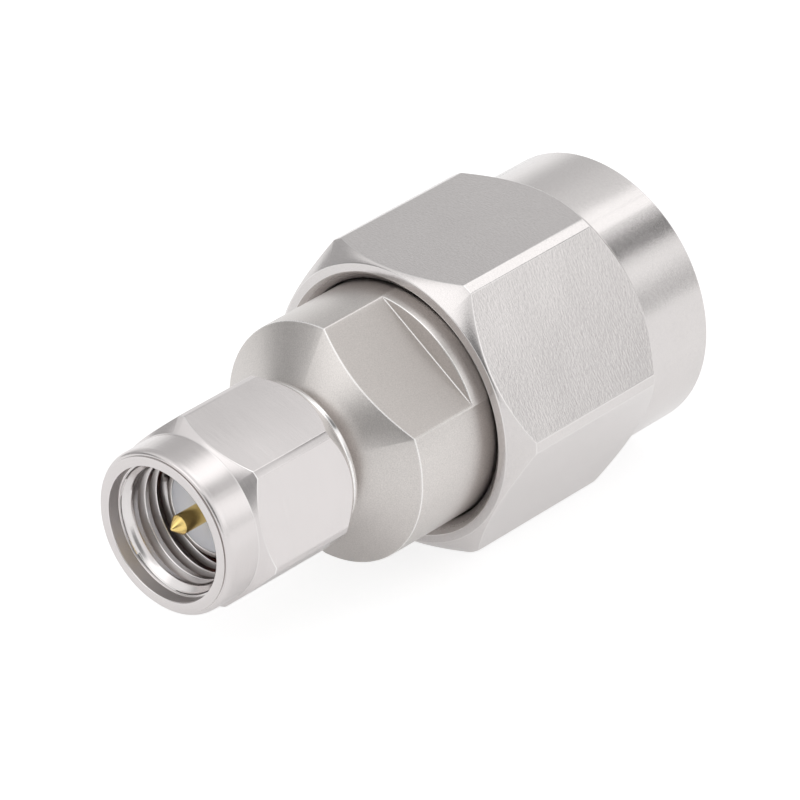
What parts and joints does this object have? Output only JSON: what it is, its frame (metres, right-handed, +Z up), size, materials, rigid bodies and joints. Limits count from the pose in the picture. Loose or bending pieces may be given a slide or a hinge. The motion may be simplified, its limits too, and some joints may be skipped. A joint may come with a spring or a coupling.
{
  "type": "sma connector",
  "caption": "Straight coaxial adapter: a small hex-nut SMA plug on a flared body with wrench flats, and a large hex-nut TNC plug behind it, both with loose coupling nuts.",
  "frame": {"origin": "on the connector's axis, in the plane of the SMA nut's open mouth", "axes": "+X along the axis from the SMA end to the TNC end, +Z up when the part lies on a flat of its large nut, +Y to the left seen from the SMA end"},
  "size_m": [0.0289, 0.0154, 0.0136],
  "materials": {
    "small_nut_steel": "passivated stainless steel, fine turned and milled finish",
    "large_nut_steel": "passivated stainless steel, brushed flats and a polished round skirt",
    "body_steel": "passivated stainless steel, satin with a fine grain",
    "gold_contact": "gold plated, polished",
    "ring_bronze": "spring bronze, plain",
    "ptfe": "natural PTFE, smooth and slightly translucent",
    "silicone": "silicone rubber, matt"
  },
  "bodies": {
    "body": {"main_body": "body_steel", "sma_retaining_ring": "ring_bronze", "sma_gasket": "silicone", "sma_center_contact": "gold_contact", "sma_dielectric": "ptfe", "tnc_shell": "body_steel", "tnc_insulator": "ptfe", "tnc_center_contact": "gold_contact", "tnc_outer_contact": "gold_contact", "tnc_gasket": "silicone", "tnc_retaining_ring": "ring_bronze"},
    "sma_nut": {"sma_coupling_nut": "small_nut_steel"},
    "tnc_nut": {"tnc_coupling_nut": "large_nut_steel"}
  },
  "joints": [
    {"name": "sma_nut_spin", "type": "hinge", "parent": "body", "child": "sma_nut", "pos_m": [0.00417, 0, 0], "axis": [1, 0, 0], "continuous": true},
    {"name": "tnc_nut_spin", "type": "hinge", "parent": "body", "child": "tnc_nut", "pos_m": [0.02182, 0, 0], "axis": [1, 0, 0], "continuous": true}
  ]
}
